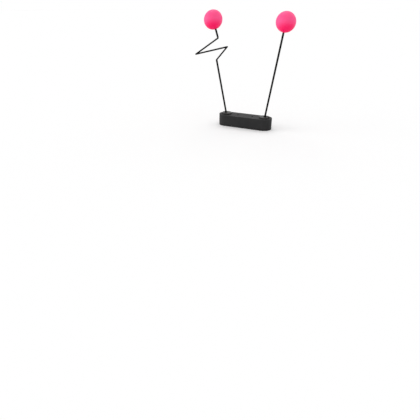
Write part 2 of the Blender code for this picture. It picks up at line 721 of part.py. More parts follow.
def make_cover():
    cover = prism("bottom_cover", [stadium(HALF_SPACING, BASE_RADIUS)], COVER_BOTTOM, COVER_TOP)
    add_part(cover, "base_charcoal")
    round_edges(cover, COVER_EDGE, segments=1)
    holes = []
    for i, (x, y) in enumerate(BOSS_PLACES, 1):
        countersink = lathe(f"countersink_{i}", cover_screw_profile(TURN_GAP))
        holes.append(add_cutter(countersink, location=(x, y, 0)))
        profile = cover_screw_profile(0)
        del profile[4]
        screw = add_part(lathe(f"cover_screw_{i}", profile), "spring_steel", location=(x, y, 0))
        reach = COVER_SCREW_HEAD_RADIUS + OVERSHOOT
        slot = box(
            f"cover_screw_slot_{i}",
            (-reach, -SLOT_WIDTH / 2, COVER_BOTTOM - OVERSHOOT),
            (reach, SLOT_WIDTH / 2, COVER_BOTTOM + SLOT_DEPTH),
        )
        combine(screw, "DIFFERENCE", [add_cutter(slot, location=(x, y, 0))])
    hole_ends = (COVER_BOTTOM - OVERSHOOT, COVER_TOP + OVERSHOOT)
    for side, x in (("left", -TUNNEL_SPACING / 2), ("right", TUNNEL_SPACING / 2)):
        hole = rod(f"cover_tunnel_{side}", TUNNEL_BORE_RADIUS, *hole_ends)
        holes.append(add_cutter(hole, location=(x, 0, 0)))
    combine(cover, "DIFFERENCE", holes)


def make_terminal(side):
    """Screw through the rear wall, with a clamp plate outside and a nut inside."""
    where = terminal_place(side)
    half = TERMINAL_CLAMP_SIZE / 2
    clamp_face = BASE_RADIUS + SEAT_GAP
    clamp_top = clamp_face + TERMINAL_CLAMP_THICKNESS
    square = [(-half, -half), (half, -half), (half, half), (-half, half)]
    clear_hole = circle(TERMINAL_SCREW_RADIUS + TURN_GAP)
    clamp = prism(f"terminal_clamp_{side}", [square, clear_hole], clamp_face, clamp_top)
    add_part(clamp, "brass", None, where, ALONG_Y)
    head_under = clamp_top + SEAT_GAP
    head_top = head_under + TERMINAL_HEAD_HEIGHT
    profile = [
        (0, head_top),
        (TERMINAL_HEAD_RADIUS - TERMINAL_HEAD_RIM, head_top),
        (TERMINAL_HEAD_RADIUS, head_top - TERMINAL_HEAD_RIM),
        (TERMINAL_HEAD_RADIUS, head_under),
        (TERMINAL_SCREW_RADIUS, head_under),
        (TERMINAL_SCREW_RADIUS, TERMINAL_INNER_END),
        (0, TERMINAL_INNER_END),
    ]
    screw = add_part(lathe(f"terminal_screw_{side}", profile), "brass", None, where, ALONG_Y)
    reach = TERMINAL_HEAD_RADIUS + OVERSHOOT
    slot = box(
        f"terminal_slot_{side}",
        (-reach, -SLOT_WIDTH / 2, head_top - SLOT_DEPTH),
        (reach, SLOT_WIDTH / 2, head_top + OVERSHOOT),
    )
    combine(screw, "DIFFERENCE", [add_cutter(slot, None, where, ALONG_Y)])
    nut_face = CAVITY_RADIUS - SEAT_GAP
    bore = circle(TERMINAL_SCREW_RADIUS + RUN_GAP)
    outline = [hexagon(TERMINAL_NUT_FLATS), bore]
    nut = prism(f"terminal_nut_{side}", outline, nut_face - TERMINAL_NUT_HEIGHT, nut_face)
    add_part(nut, "brass", None, where, ALONG_Y)


def smooth_points(route, pieces):
    """Points on a smooth curve through the route's own points, several to each stretch."""
    ends = [2 * route[0] - route[1], *route, 2 * route[-1] - route[-2]]
    points = []
    for before, start, end, after in zip(ends, ends[1:], ends[2:], ends[3:]):
        for i in range(pieces):
            t = i / pieces
            bend = 2 * before - 5 * start + 4 * end - after
            twist = 3 * (start - end) + after - before
            points.append(start + ((end - before) * t + bend * t**2 + twist * t**3) / 2)
    points.append(route[-1])
    return points


def make_lead_wire(side):
    """Sleeved wire that crosses under the lug's tail, passes between the screw tunnel and the
    boss, and ends on the terminal screw."""
    sign = -1 if side == "left" else 1
    half_tail = LUG_TAIL_WIDTH / 2
    tail_x = HALF_SPACING - LUG_TAIL_LENGTH + half_tail
    level = LUG_TOP - LUG_THICKNESS - SEAT_GAP - WIRE_RADIUS
    passage_y = (TUNNEL_BORE_RADIUS + TUNNEL_WALL + BOSS_Y - BOSS_RADIUS) / 2
    terminal_end = Vector((TERMINAL_SPACING / 2, TERMINAL_INNER_END - SEAT_GAP, TERMINAL_Z))
    route = [
        Vector((tail_x, -half_tail, level)),
        Vector((tail_x, half_tail, level)),
        Vector((BOSS_X, passage_y, level)),
        Vector((TUNNEL_SPACING / 2, passage_y, level)),
        terminal_end + Vector((0, -WIRE_LEAD, 0)),
        terminal_end,
    ]
    route = [Vector((sign * point.x, point.y, point.z)) for point in route]
    curve = bpy.data.curves.new(f"lead_wire_{side}", "CURVE")
    curve.dimensions = "3D"
    curve.bevel_depth = WIRE_RADIUS
    curve.bevel_resolution = 2
    curve.use_fill_caps = True
    points = smooth_points(route, WIRE_PIECES)
    spline = curve.splines.new("POLY")
    spline.points.add(len(points) - 1)
    for point, place_at in zip(spline.points, points):
        point.co = (*place_at, 1)
    add_part(bpy.data.objects.new(f"lead_wire_{side}", curve), "wire_sleeve")


def make_side(side):
    """One turret with its ear, on a frame whose +X points outward."""
    sign = -1 if side == "left" else 1
    facing = math.pi if side == "left" else 0
    tilt = math.radians(LEFT_TILT if side == "left" else RIGHT_TILT)
    where = (sign * HALF_SPACING, 0, 0)
    fixed = add_frame(f"well_frame_{side}", None, where, (0, 0, facing))
    swivel = add_frame(f"swivel_{side}", fixed)
    ear = add_frame(f"ear_{side}", swivel, (0, 0, PIVOT_Z), (0, tilt, 0))
    make_turret(side, swivel)
    make_hinge_pin(side, swivel)
    make_swivel_nut(side, swivel)
    make_wave_washer(side, swivel)
    make_solder_lug(side, fixed)
    make_knuckle(side, ear)
    make_hinge_washers(side, ear)
    if side == "left":
        _, _, ball = zigzag_tip()
        make_zigzag_ear(ear)
        tip = add_frame("tip_left", ear, (ball.x, 0, ball.y), (0, math.radians(TIP_LEAN), 0))
        make_tip(side, SLIDER_RADIUS, tip)
    else:
        make_straight_ear(ear)
        tip = add_frame("tip_right", ear, (0, 0, RIGHT_BALL_REACH))
        make_tip(side, CORE_RADIUS, tip)
    make_terminal(side)
    make_lead_wire(side)
    return fixed


def main():
    frames = {side: make_side(side) for side in ("left", "right")}
    make_housing(frames)
    make_cover()


main()
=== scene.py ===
"""Rabbit ears antenna in its finishes: satin black ears, hot pink balls, blackened turrets and a
charcoal base with brass terminals, on a pale floor in soft light.

Metres, in the part's own frame. The ears and balls are modelled anew about the axes of the nodes
that they stand for, with those nodes' ends and radii. Every other piece is its node's form with
the edges broken.
"""

import json
import math

import bmesh
import bpy
import numpy as np
from mathutils import Matrix, Vector

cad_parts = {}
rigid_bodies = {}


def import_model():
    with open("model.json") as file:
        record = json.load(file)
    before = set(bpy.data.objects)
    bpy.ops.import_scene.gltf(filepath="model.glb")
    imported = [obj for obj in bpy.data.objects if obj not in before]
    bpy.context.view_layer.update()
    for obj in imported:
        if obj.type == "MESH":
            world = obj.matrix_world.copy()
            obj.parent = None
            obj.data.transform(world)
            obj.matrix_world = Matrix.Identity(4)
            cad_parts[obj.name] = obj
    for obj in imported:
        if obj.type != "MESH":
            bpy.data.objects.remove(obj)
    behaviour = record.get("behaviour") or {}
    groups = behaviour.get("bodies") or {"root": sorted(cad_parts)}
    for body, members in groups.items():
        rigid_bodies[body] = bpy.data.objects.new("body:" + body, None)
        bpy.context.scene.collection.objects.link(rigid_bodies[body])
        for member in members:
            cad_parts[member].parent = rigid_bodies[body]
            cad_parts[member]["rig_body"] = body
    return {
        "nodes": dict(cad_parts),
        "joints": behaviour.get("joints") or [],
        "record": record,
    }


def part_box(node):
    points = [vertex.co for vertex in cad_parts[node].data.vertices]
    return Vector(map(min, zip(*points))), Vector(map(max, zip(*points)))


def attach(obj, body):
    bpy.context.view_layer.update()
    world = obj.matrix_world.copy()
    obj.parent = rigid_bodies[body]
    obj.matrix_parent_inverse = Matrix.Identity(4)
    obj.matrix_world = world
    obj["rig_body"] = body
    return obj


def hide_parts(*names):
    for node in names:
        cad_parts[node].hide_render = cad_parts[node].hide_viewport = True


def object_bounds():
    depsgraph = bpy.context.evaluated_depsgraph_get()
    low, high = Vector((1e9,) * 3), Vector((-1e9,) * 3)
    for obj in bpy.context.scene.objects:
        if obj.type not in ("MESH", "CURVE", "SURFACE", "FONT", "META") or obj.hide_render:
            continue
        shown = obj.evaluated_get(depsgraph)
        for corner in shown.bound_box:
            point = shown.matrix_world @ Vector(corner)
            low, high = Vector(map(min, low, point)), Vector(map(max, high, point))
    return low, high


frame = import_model()
CAD_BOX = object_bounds()
NODES = frame["nodes"]
JOINTS = {joint["name"]: joint for joint in frame["joints"]}
SLOTS = {part["node"]: part["material_slot"] for part in frame["record"]["subparts"]}
SIDES = ("left", "right")

# Camera: the photograph's own, with angles in degrees and its focal length in pixels
CAMERA_PLACE = (0.2927, -0.7921, 0.2280)
CAMERA_PITCH = 30.10
CAMERA_YAW = 26.06
CAMERA_ROLL = -0.37
FOCAL_PIXELS = 353.6
FRAME_PIXELS = 420
SENSOR_MM = 36.0
CLIP_START = 0.01

# Clearances and walls of the pieces that slide in each other
RUN_GAP = 0.00005
TURN_GAP = 0.0002
SEAT_GAP = 0.0003
TUBE_WALL = 0.0003
CRIMP_DEPTH = 0.0001
CRIMP_LENGTH = 0.002
FLARE_LENGTH = 0.004
LIP_FILLET = 0.00008

# Zigzag: the corners of its bends in the ear's frame, as (outward, along) pairs
ZIGZAG_BENDS = [
    Vector((0, 0.1285)),
    Vector((-0.0312, 0.1502)),
    Vector((0.0500, 0.1494)),
    Vector((-0.0130, 0.1717)),
]

# Balls and ferrules
SOCKET_DEPTH = 0.010
FERRULE_BORE_DEPTH = 0.012
FERRULE_CHAMFER = 0.0001
MOUTH_FILLET = 0.0004
SEAM_HEIGHT = 0.00006
SEAM_HALF_WIDTH = 0.00022
SEAM_POINTS = 4

# Painted shade on the balls: the side that their painted light comes from, where the painted shade starts
# and ends along that, and its unevenness
PAINTED_LIGHT_SIDE = (-0.26, 0.42, 0.87)
PAINTED_SHADE_START = -0.0180
PAINTED_SHADE_END = -0.0034
PAINTED_SHADE_UNEVENNESS = 0.002

# Broken edges of the other pieces
SMALL_EDGE = 0.00010
METAL_EDGE = 0.00018
MOULDED_EDGE = 0.00030
EDGE_STEPS = 2
EDGE_ANGLE = 40.0
FLAT_ANGLE = 0.5

# Facets of the finished pieces; steps are degrees
FINE_SIDES = 48
BALL_SIDES = 128
BALL_STEP = 2.0
BEND_STEP = 6.0
FILLET_STEPS = 4
SMOOTH_ANGLE = 32.0
WELD = 0.000001

# Stage
FLOOR_HALF_SIZE = 30.0
FLOOR_COLOUR = (0.8, 0.8, 0.8)
FLOOR_LIFT = 0.075
AMBIENT = 0.90
LAMP_ANGLE = 36.0

# Lamps: the direction that each stands in, and its strength
LAMPS = {
    "left_lamp": ((-0.88, -0.40, 0.22), 1.2),
    "top_lamp": ((-0.25, 0.48, 0.84), 0.5),
    "rear_lamp": ((0.45, 0.69, 0.57), 0.2),
}


def aligned(origin, axis, across):
    """Frame at a point, with Z along an axis and X as near as can be to another direction."""
    z = Vector(axis).normalized()
    y = z.cross(Vector(across)).normalized()
    matrix = Matrix((y.cross(z), y, z)).transposed().to_4x4()
    matrix.translation = Vector(origin)
    return matrix


def local_points(node, matrix):
    """A node's vertices in a frame, one to a row."""
    inverse = np.array(matrix.inverted())
    points = np.array([vertex.co for vertex in NODES[node].data.vertices])
    return points @ inverse[:3, :3].T + inverse[:3, 3]


def turned_size(node, matrix):
    """Low end, high end and largest radius of a turned node, about the Z axis of a frame."""
    points = local_points(node, matrix)
    return points[:, 2].min(), points[:, 2].max(), np.hypot(points[:, 0], points[:, 1]).max()


def turned_frame(node, outward):
    """Frame in the middle of a slim turned node, with Z up along it."""
    points = np.unique(local_points(node, Matrix()).round(7), axis=0)
    axis = Vector(np.linalg.svd(points - points.mean(axis=0))[2][0])
    matrix = aligned((0, 0, 0), axis if axis.z > 0 else -axis, outward)
    points = local_points(node, matrix)
    middle = Vector((points.min(axis=0) + points.max(axis=0)) / 2)
    return matrix @ Matrix.Translation(middle)


OUTWARD = {"left": Vector((-1, 0, 0)), "right": Vector((1, 0, 0))}
EAR_SLIDE = {"left": "left_slide", "right": "right_middle_slide"}
EARS = {
    side: aligned(JOINTS[f"{side}_tilt"]["pos_m"], JOINTS[EAR_SLIDE[side]]["axis"], OUTWARD[side])
    for side in SIDES
}
TURRETS = {side: Matrix.Translation(JOINTS[f"{side}_swivel"]["pos_m"]) for side in SIDES}


def tip_frame(side):
    """Frame on a ball's widest ring, with Z along its ferrule, and the ball's radius and rise."""
    ferrule = turned_frame(f"tip_ferrule_{side}", OUTWARD[side])
    points = local_points(f"tip_ball_{side}", ferrule)
    radii = np.hypot(points[:, 0], points[:, 1])
    widest = points[radii > radii.max() - RUN_GAP, 2].mean()
    tip = ferrule @ Matrix.Translation((0, 0, widest))
    return tip, radii.max(), points[:, 2].max() - widest


def rounded(corners):
    """Line through (radius, height, fillet) corners, with each fillet drawn as an arc.

    Its points are (radius, height, wear), and the wear is full in the middle of an arc.
    """
    line = []
    for i, (radius, height, fillet) in enumerate(corners):
        corner = Vector((radius, height))
        if not fillet:
            line.append((radius, height, 0))
            continue
        back = (Vector(corners[i - 1][:2]) - corner).normalized()
        on = (Vector(corners[(i + 1) % len(corners)][:2]) - corner).normalized()
        half = math.acos(max(-1, min(1, back.dot(on)))) / 2
        centre = corner + (back + on).normalized() * (fillet / math.sin(half))
        start = corner + back * (fillet / math.tan(half)) - centre
        turn = 2 * (math.pi / 2 - half) * (1 if back.cross(on) < 0 else -1)
        for step in range(FILLET_STEPS + 1):
            point = centre + Matrix.Rotation(turn * step / FILLET_STEPS, 2) @ start
            line.append((*point, math.sin(math.pi * step / FILLET_STEPS)))
    return line


def new_form():
    """Empty mesh form whose points keep their place and their wear for the finishes."""
    form = bmesh.new()
    form.verts.layers.float.new("wear")
    form.verts.layers.float_vector.new("local_place")
    return form


def add_point(form, place, wear=0.0, local_place=None):
    vertex = form.verts.new(place)
    vertex[form.verts.layers.float["wear"]] = wear
    vertex[form.verts.layers.float_vector["local_place"]] = local_place or place
    return vertex


def new_object(name, form, matrix):
    """Object of a mesh form that was made in a local frame, with its mesh in the part's frame."""
    bmesh.ops.recalc_face_normals(form, faces=form.faces)
    form.transform(matrix)
    mesh = bpy.data.meshes.new(name)
    form.to_mesh(mesh)
    form.free()
    mesh.shade_smooth()
    mesh.set_sharp_from_angle(angle=math.radians(SMOOTH_ANGLE))
    obj = bpy.data.objects.new(name, mesh)
    bpy.context.scene.collection.objects.link(obj)
    return obj


def skin(form, rings, closed=False):
    """Faces between rings of points that follow each other; a ring may be one point repeated."""
    pairs = list(zip(rings, rings[1:]))
    if closed:
        pairs.append((rings[-1], rings[0]))
    for first, second in pairs:
        for i in range(len(first)):
            form.faces.new(dict.fromkeys((first[i - 1], first[i], second[i], second[i - 1])))


def circle(radius, sides):
    angles = [2 * math.pi * i / sides for i in range(sides)]
    return [(radius * math.cos(angle), radius * math.sin(angle)) for angle in angles]


def turned(name, profile, matrix, closed=False, sides=FINE_SIDES, upright=False):
    """Profile of (radius, height, wear) points turned about the Z axis of a frame.

    The finish of an upright piece keeps to the part's own axes and not to that frame's.
    """
    form = new_form()
    lean = matrix.to_3x3() if upright else Matrix.Identity(3)
    rings = []
    for radius, height, wear in profile:
        if radius < WELD:
            middle = Vector((0, 0, height))
            rings.append([add_point(form, middle, wear, lean @ middle)] * sides)
            continue
        points = [Vector((x, y, height)) for x, y in circle(radius, sides)]
        rings.append([add_point(form, point, wear, lean @ point) for point in points])
    skin(form, rings, closed)
    return new_object(name, form, matrix)


def stand_for(piece, node):
    """The piece takes a node's place, on its body and in its finish."""
    piece.data.materials.append(LOOKS[SLOTS[node]])
    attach(piece, NODES[node]["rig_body"])
    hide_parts(node)


def finished(node):
    return f"{node}_finished"


# Finishes


def add(tree, kind, inputs, output=0, **settings):
    """New shader node with its settings and its inputs, which are values or other nodes' outputs."""
    node = tree.nodes.new(f"ShaderNode{kind}")
    for name, value in settings.items():
        setattr(node, name, value)
    for key, value in inputs.items():
        if isinstance(value, bpy.types.NodeSocket):
            tree.links.new(value, node.inputs[key])
        else:
            node.inputs[key].default_value = value
    return node.outputs[output]


def new_look(name, **values):
    """Material with constant values on its shader's own sockets."""
    material = bpy.data.materials.new(f"{name}_look")
    material.use_nodes = True
    tree = material.node_tree
    shader = tree.nodes["Principled BSDF"]
    for key, value in values.items():
        shader.inputs[key.replace("_", " ")].default_value = value
    LOOKS[name] = material
    return tree, shader


def attribute(tree, name, output):
    return add(tree, "Attribute", {}, output, attribute_name=name)


def local_place(tree, stretch=(1, 1, 1)):
    place = attribute(tree, "local_place", "Vector")
    if stretch == (1, 1, 1):
        return place
    return add(tree, "VectorMath", {0: place, 1: stretch}, operation="MULTIPLY")


def ring_place(tree, stretch):
    """Place of a turned point by its radius and height alone, so that its texture runs in rings."""
    point = local_place(tree)
    flat = add(tree, "VectorMath", {0: point, 1: (1, 1, 0)}, operation="MULTIPLY")
    radius = add(tree, "VectorMath", {0: flat}, "Value", operation="LENGTH")
    height = add(tree, "SeparateXYZ", {"Vector": point}, "Z")
    place = add(tree, "CombineXYZ", {"X": radius, "Y": height})
    return add(tree, "VectorMath", {0: place, 1: stretch}, operation="MULTIPLY")


def noise(tree, place, size, detail=2.0):
    """Noise from 0 to 1 with features of about a given size in metres."""
    inputs = {"Vector": place, "Scale": 1 / size, "Detail": detail}
    return add(tree, "TexNoise", inputs, "Fac")


def spread(tree, value, low, high, start=0.3, end=0.7):
    """A value mapped to a range, with its own start and end held."""
    inputs = {"Value": value, "From Min": start, "From Max": end, "To Min": low, "To Max": high}
    return add(tree, "MapRange", inputs)


def blend(tree, factor, first, second):
    inputs = {0: factor, 6: first, 7: second}
    for key in (6, 7):
        if isinstance(inputs[key], tuple):
            inputs[key] = (*inputs[key], 1)
    return add(tree, "Mix", inputs, 2, data_type="RGBA")


def times(tree, first, second):
    return add(tree, "Math", {0: first, 1: second}, operation="MULTIPLY")


def bumped(tree, shader, heights):
    """Bumps on the shader's normal from (height, depth in metres) pairs."""
    normal = None
    for height, depth in heights:
        inputs = {"Height": height, "Distance": depth}
        if normal:
            inputs["Normal"] = normal
        normal = add(tree, "Bump", inputs)
    tree.links.new(normal, shader.inputs["Normal"])


def connect(tree, shader, **sockets):
    for name, socket in sockets.items():
        tree.links.new(socket, shader.inputs[name.replace("_", " ")])


LOOKS = {}


def ball_look():
    """Matte moulded plastic with painted light and shade: painted lighter on one side and painted deep
    shade low on its front, with mould grain and a rubbed seam.
    """
    tree, shader = new_look("ball_pink", Specular_IOR_Level=0.2)
    place = local_place(tree)
    clouds = noise(tree, place, 0.012, 3)
    mottle = noise(tree, place, 0.0022, 4)
    grain = noise(tree, place, 0.0006, 3)
    # Painted light and shade: the colour runs from a painted deep shade low on the ball's front to a
    # painted lit pink on the side toward the light, fixed in the ball's own frame.
    side = add(tree, "VectorMath", {0: place, 1: PAINTED_LIGHT_SIDE}, "Value", operation="DOT_PRODUCT")
    uneven = add(tree, "Math", {0: clouds, 1: PAINTED_SHADE_UNEVENNESS, 2: side}, operation="MULTIPLY_ADD")
    inputs = {"Value": uneven, "From Min": PAINTED_SHADE_START, "From Max": PAINTED_SHADE_END}
    painted_light = add(tree, "MapRange", inputs, interpolation_type="SMOOTHSTEP")
    # The deep colour is the painted shade and the pale colour is the painted light; the mottle between
    # two tones of each is the plastic's own.
    deep = blend(tree, spread(tree, mottle, 0, 1), (1.0, 0.0004, 0.108), (1.0, 0.0012, 0.126))
    pale = blend(tree, spread(tree, mottle, 0, 1), (1.0, 0.073, 0.248), (1.0, 0.089, 0.272))
    painted_shading = blend(tree, painted_light, deep, pale)
    rubbed = times(tree, attribute(tree, "wear", "Fac"), spread(tree, clouds, 0.1, 0.7))
    colour = blend(tree, rubbed, painted_shading, (1.0, 0.15, 0.36))
    connect(tree, shader, Base_Color=colour, Roughness=spread(tree, mottle, 0.44, 0.56))
    bumped(tree, shader, [(grain, 0.00004), (mottle, 0.00003)])


def rod_look():
    """Satin black lacquer with faint lengthwise streaks, rubbed where it sticks out."""
    tree, shader = new_look("rod_black", Specular_IOR_Level=0.1)
    streaks = noise(tree, local_place(tree, (1, 1, 0.02)), 0.0006, 4)
    rubs = noise(tree, local_place(tree, (1, 1, 0.25)), 0.0012, 4)
    lacquer = blend(tree, spread(tree, streaks, 0, 1), (0.0020, 0.0020, 0.0020), (0.0048, 0.0047, 0.0046))
    worn = times(tree, attribute(tree, "wear", "Fac"), spread(tree, rubs, 0, 1, 0.45, 0.62))
    colour = blend(tree, worn, lacquer, (0.024, 0.023, 0.021))
    connect(tree, shader, Base_Color=colour, Roughness=spread(tree, streaks, 0.42, 0.60))
    bumped(tree, shader, [(streaks, 0.00001)])


def turned_metal_look():
    """Blackened turned brass with tool rings, its edges rubbed bright."""
    tree, shader = new_look("blackened_metal", Specular_IOR_Level=0.4)
    rings = noise(tree, ring_place(tree, (1, 0.6, 1)), 0.0006, 3)
    patches = noise(tree, local_place(tree), 0.004, 4)
    black = blend(tree, spread(tree, patches, 0, 1), (0.008, 0.008, 0.008), (0.017, 0.016, 0.015))
    edge = times(tree, attribute(tree, "wear", "Fac"), spread(tree, patches, 0.1, 1, 0.38, 0.62))
    colour = blend(tree, edge, black, (0.30, 0.205, 0.09))
    connect(tree, shader, Base_Color=colour, Metallic=edge, Roughness=spread(tree, rings, 0.36, 0.52))
    bumped(tree, shader, [(rings, 0.00003)])


def moulded_look():
    """Charcoal plastic with a spark-eroded texture, polished along its edges."""
    tree, shader = new_look("base_charcoal", Specular_IOR_Level=0.25)
    place = local_place(tree)
    pits = noise(tree, place, 0.0009, 3)
    clouds = noise(tree, place, 0.022, 4)
    charcoal = blend(tree, spread(tree, clouds, 0, 1), (0.011, 0.011, 0.0115), (0.018, 0.018, 0.0185))
    speckled = blend(tree, spread(tree, pits, 0, 0.35, 0.55, 0.75), charcoal, (0.034, 0.034, 0.035))
    edge = times(tree, attribute(tree, "wear", "Fac"), spread(tree, clouds, 0.3, 1))
    colour = blend(tree, edge, speckled, (0.046, 0.046, 0.047))
    rough = spread(tree, pits, 0.56, 0.70)
    polished = add(tree, "Math", {0: rough, 1: times(tree, edge, 0.22)}, operation="SUBTRACT")
    connect(tree, shader, Base_Color=colour, Roughness=polished)
    bumped(tree, shader, [(pits, 0.00012)])


def brass_look():
    """Brushed brass with brown tarnish in patches, bright on its edges."""
    tree, shader = new_look("brass", Metallic=1.0)
    place = local_place(tree)
    brushed = noise(tree, local_place(tree, (0.08, 1, 1)), 0.0004, 3)
    tarnish = noise(tree, place, 0.0025, 4)
    old = blend(tree, spread(tree, tarnish, 0, 1, 0.42, 0.66), (0.60, 0.41, 0.15), (0.30, 0.185, 0.075))
    colour = blend(tree, attribute(tree, "wear", "Fac"), old, (0.70, 0.51, 0.22))
    connect(tree, shader, Base_Color=colour, Roughness=spread(tree, tarnish, 0.26, 0.50))
    bumped(tree, shader, [(brushed, 0.00003)])


def steel_look():
    """Plain steel with fine rings from its turning, dulled in patches."""
    tree, shader = new_look("spring_steel", Metallic=1.0)
    rings = noise(tree, ring_place(tree, (1, 1, 1)), 0.0003, 2)
    patches = noise(tree, local_place(tree), 0.002, 4)
    dull = blend(tree, spread(tree, patches, 0, 1), (0.50, 0.50, 0.51), (0.34, 0.325, 0.31))
    colour = blend(tree, attribute(tree, "wear", "Fac"), dull, (0.62, 0.62, 0.63))
    connect(tree, shader, Base_Color=colour, Roughness=spread(tree, patches, 0.24, 0.42))
    bumped(tree, shader, [(rings, 0.00002)])


def sleeve_look():
    """Black extruded sleeve, slightly dusty."""
    tree, shader = new_look("wire_sleeve", Specular_IOR_Level=0.4)
    place = local_place(tree)
    dust = noise(tree, place, 0.003, 4)
    colour = blend(tree, spread(tree, dust, 0, 1), (0.012, 0.012, 0.012), (0.028, 0.027, 0.026))
    connect(tree, shader, Base_Color=colour, Roughness=spread(tree, dust, 0.42, 0.60))
    bumped(tree, shader, [(noise(tree, place, 0.0004), 0.00002)])


# Pieces


def make_ball(side):
    """Ball with a moulding seam on its widest ring and a rounded mouth for its ferrule."""
    node = f"tip_ball_{side}"
    matrix, radius, rise = tip_frame(side)
    squash = rise / radius
    socket = turned_size(f"tip_ferrule_{side}", matrix)[2] + TURN_GAP
    mouth = -90 + math.degrees(math.asin((socket + MOUTH_FILLET) / radius))
    count = math.ceil((90 - mouth) / BALL_STEP)
    seam = math.degrees(SEAM_HALF_WIDTH / radius)
    angles = {90 + (mouth - 90) * i / count for i in range(count + 1)}
    angles |= {seam * i / 2 for i in range(-SEAM_POINTS, SEAM_POINTS + 1)}
    profile = []
    for angle in sorted(angles, reverse=True):
        ridge = math.exp(-((angle / seam) ** 2) * 2)
        out = radius + SEAM_HEIGHT * ridge
        turn = math.radians(angle)
        profile.append((out * math.cos(turn), out * math.sin(turn) * squash, ridge))
    low = profile[-1][1]
    for step in range(1, FILLET_STEPS + 1):
        turn = math.radians(90 * step / FILLET_STEPS)
        lip = (socket + MOUTH_FILLET * (1 - math.sin(turn)), low + MOUTH_FILLET * (1 - math.cos(turn)))
        profile.append((*lip, 0))
    profile += [(socket, -rise + SOCKET_DEPTH, 0), (0, -rise + SOCKET_DEPTH, 0)]
    stand_for(turned(finished(node), profile, matrix, sides=BALL_SIDES, upright=True), node)


def make_ferrule(side, rod_radius):
    """Ferrule with a bore for the rod's end."""
    node = f"tip_ferrule_{side}"
    matrix = tip_frame(side)[0]
    low, high, radius = turned_size(node, matrix)
    bore = rod_radius + RUN_GAP
    corners = [
        (0, high, 0),
        (radius, high, FERRULE_CHAMFER),
        (radius, low, LIP_FILLET),
        (bore, low, LIP_FILLET),
        (bore, low + FERRULE_BORE_DEPTH, 0),
        (0, low + FERRULE_BORE_DEPTH, 0),
    ]
    stand_for(turned(finished(node), rounded(corners), matrix), node)


def tube_corners(node, matrix):
    """Ring profile of a tube whose mouth is rolled in over its last stretch."""
    low, high, radius = turned_size(node, matrix)
    bore = radius - TUBE_WALL
    mouth = bore - CRIMP_DEPTH
    return [
        (mouth, high, LIP_FILLET),
        (radius, high, CRIMP_DEPTH),
        (radius, low, LIP_FILLET),
        (bore, low, LIP_FILLET),
        (bore, high - CRIMP_LENGTH, 0),
        (mouth, high - CRIMP_LENGTH / 2, 0),
    ]


def make_tube(node, side):
    matrix = EARS[side]
    stand_for(turned(finished(node), rounded(tube_corners(node, matrix)), matrix, closed=True), node)


def make_middle_tube():
    """Middle section of the straight ear, with a flare that keeps it in the outer tube."""
    node = "middle_tube_right"
    matrix = EARS["right"]
    low, high, flare = turned_size(node, matrix)
    radius = flare - CRIMP_DEPTH
    bore = radius - TUBE_WALL
    mouth = bore - CRIMP_DEPTH
    corners = [
        (mouth, high, LIP_FILLET),
        (radius, high, CRIMP_DEPTH),
        (radius, low + FLARE_LENGTH, 0),
        (flare, low + FLARE_LENGTH - CRIMP_DEPTH, 0),
        (flare, low, LIP_FILLET),
        (bore, low, LIP_FILLET),
        (bore, high - CRIMP_LENGTH, 0),
        (mouth, high - CRIMP_LENGTH / 2, 0),
    ]
    stand_for(turned(finished(node), rounded(corners), matrix, closed=True), node)


def make_inner_rod():
    """Innermost section of the straight ear, with a flare that keeps it in the middle one."""
    node = "inner_rod_right"
    matrix = EARS["right"]
    low, high, flare = turned_size(node, matrix)
    radius = flare - CRIMP_DEPTH
    corners = [
        (0, high, 0),
        (radius, high, LIP_FILLET),
        (radius, low + FLARE_LENGTH, 0),
        (flare, low + FLARE_LENGTH - CRIMP_DEPTH, 0),
        (flare, low, LIP_FILLET),
        (0, low, 0),
    ]
    stand_for(turned(finished(node), rounded(corners), matrix), node)
    return radius


def add_straight_ring(form, middle, heading, radius, run):
    """Points round a straight stroke; for the finishes they lie round a rod that was never bent."""
    right = Vector((heading.y, -heading.x))
    ring = []
    for across, depth in circle(radius, FINE_SIDES):
        point = middle + right * across
        ring.append(add_point(form, (point.x, depth, point.y), 0, (across, depth, run)))
    return ring


def add_bend_rings(form, corner, arriving, leaving, radius, run):
    """Rings of points round a sharp bend, from the end of one stroke to the start of the next.

    Outside the bend the rings turn about its corner and round it off. Inside the bend they all
    lie on the mitre where the two strokes meet.
    """
    turn = math.atan2(arriving.cross(leaving), arriving.dot(leaving))
    mitre = (leaving - arriving).normalized() / math.cos(turn / 2)
    count = math.ceil(math.degrees(abs(turn)) / BEND_STEP)
    rings = []
    for i in range(count + 1):
        heading = Matrix.Rotation(turn * i / count, 2) @ arriving
        right = Vector((heading.y, -heading.x))
        wear = math.sin(math.pi * i / count)
        ring = []
        for across, depth in circle(radius, FINE_SIDES):
            outside = across * turn > 0
            point = corner + (right * across if outside else mitre * abs(across))
            rubbed = wear * abs(across) / radius if outside else 0
            ring.append(add_point(form, (point.x, depth, point.y), rubbed, (across, depth, run)))
        rings.append(ring)
    return rings


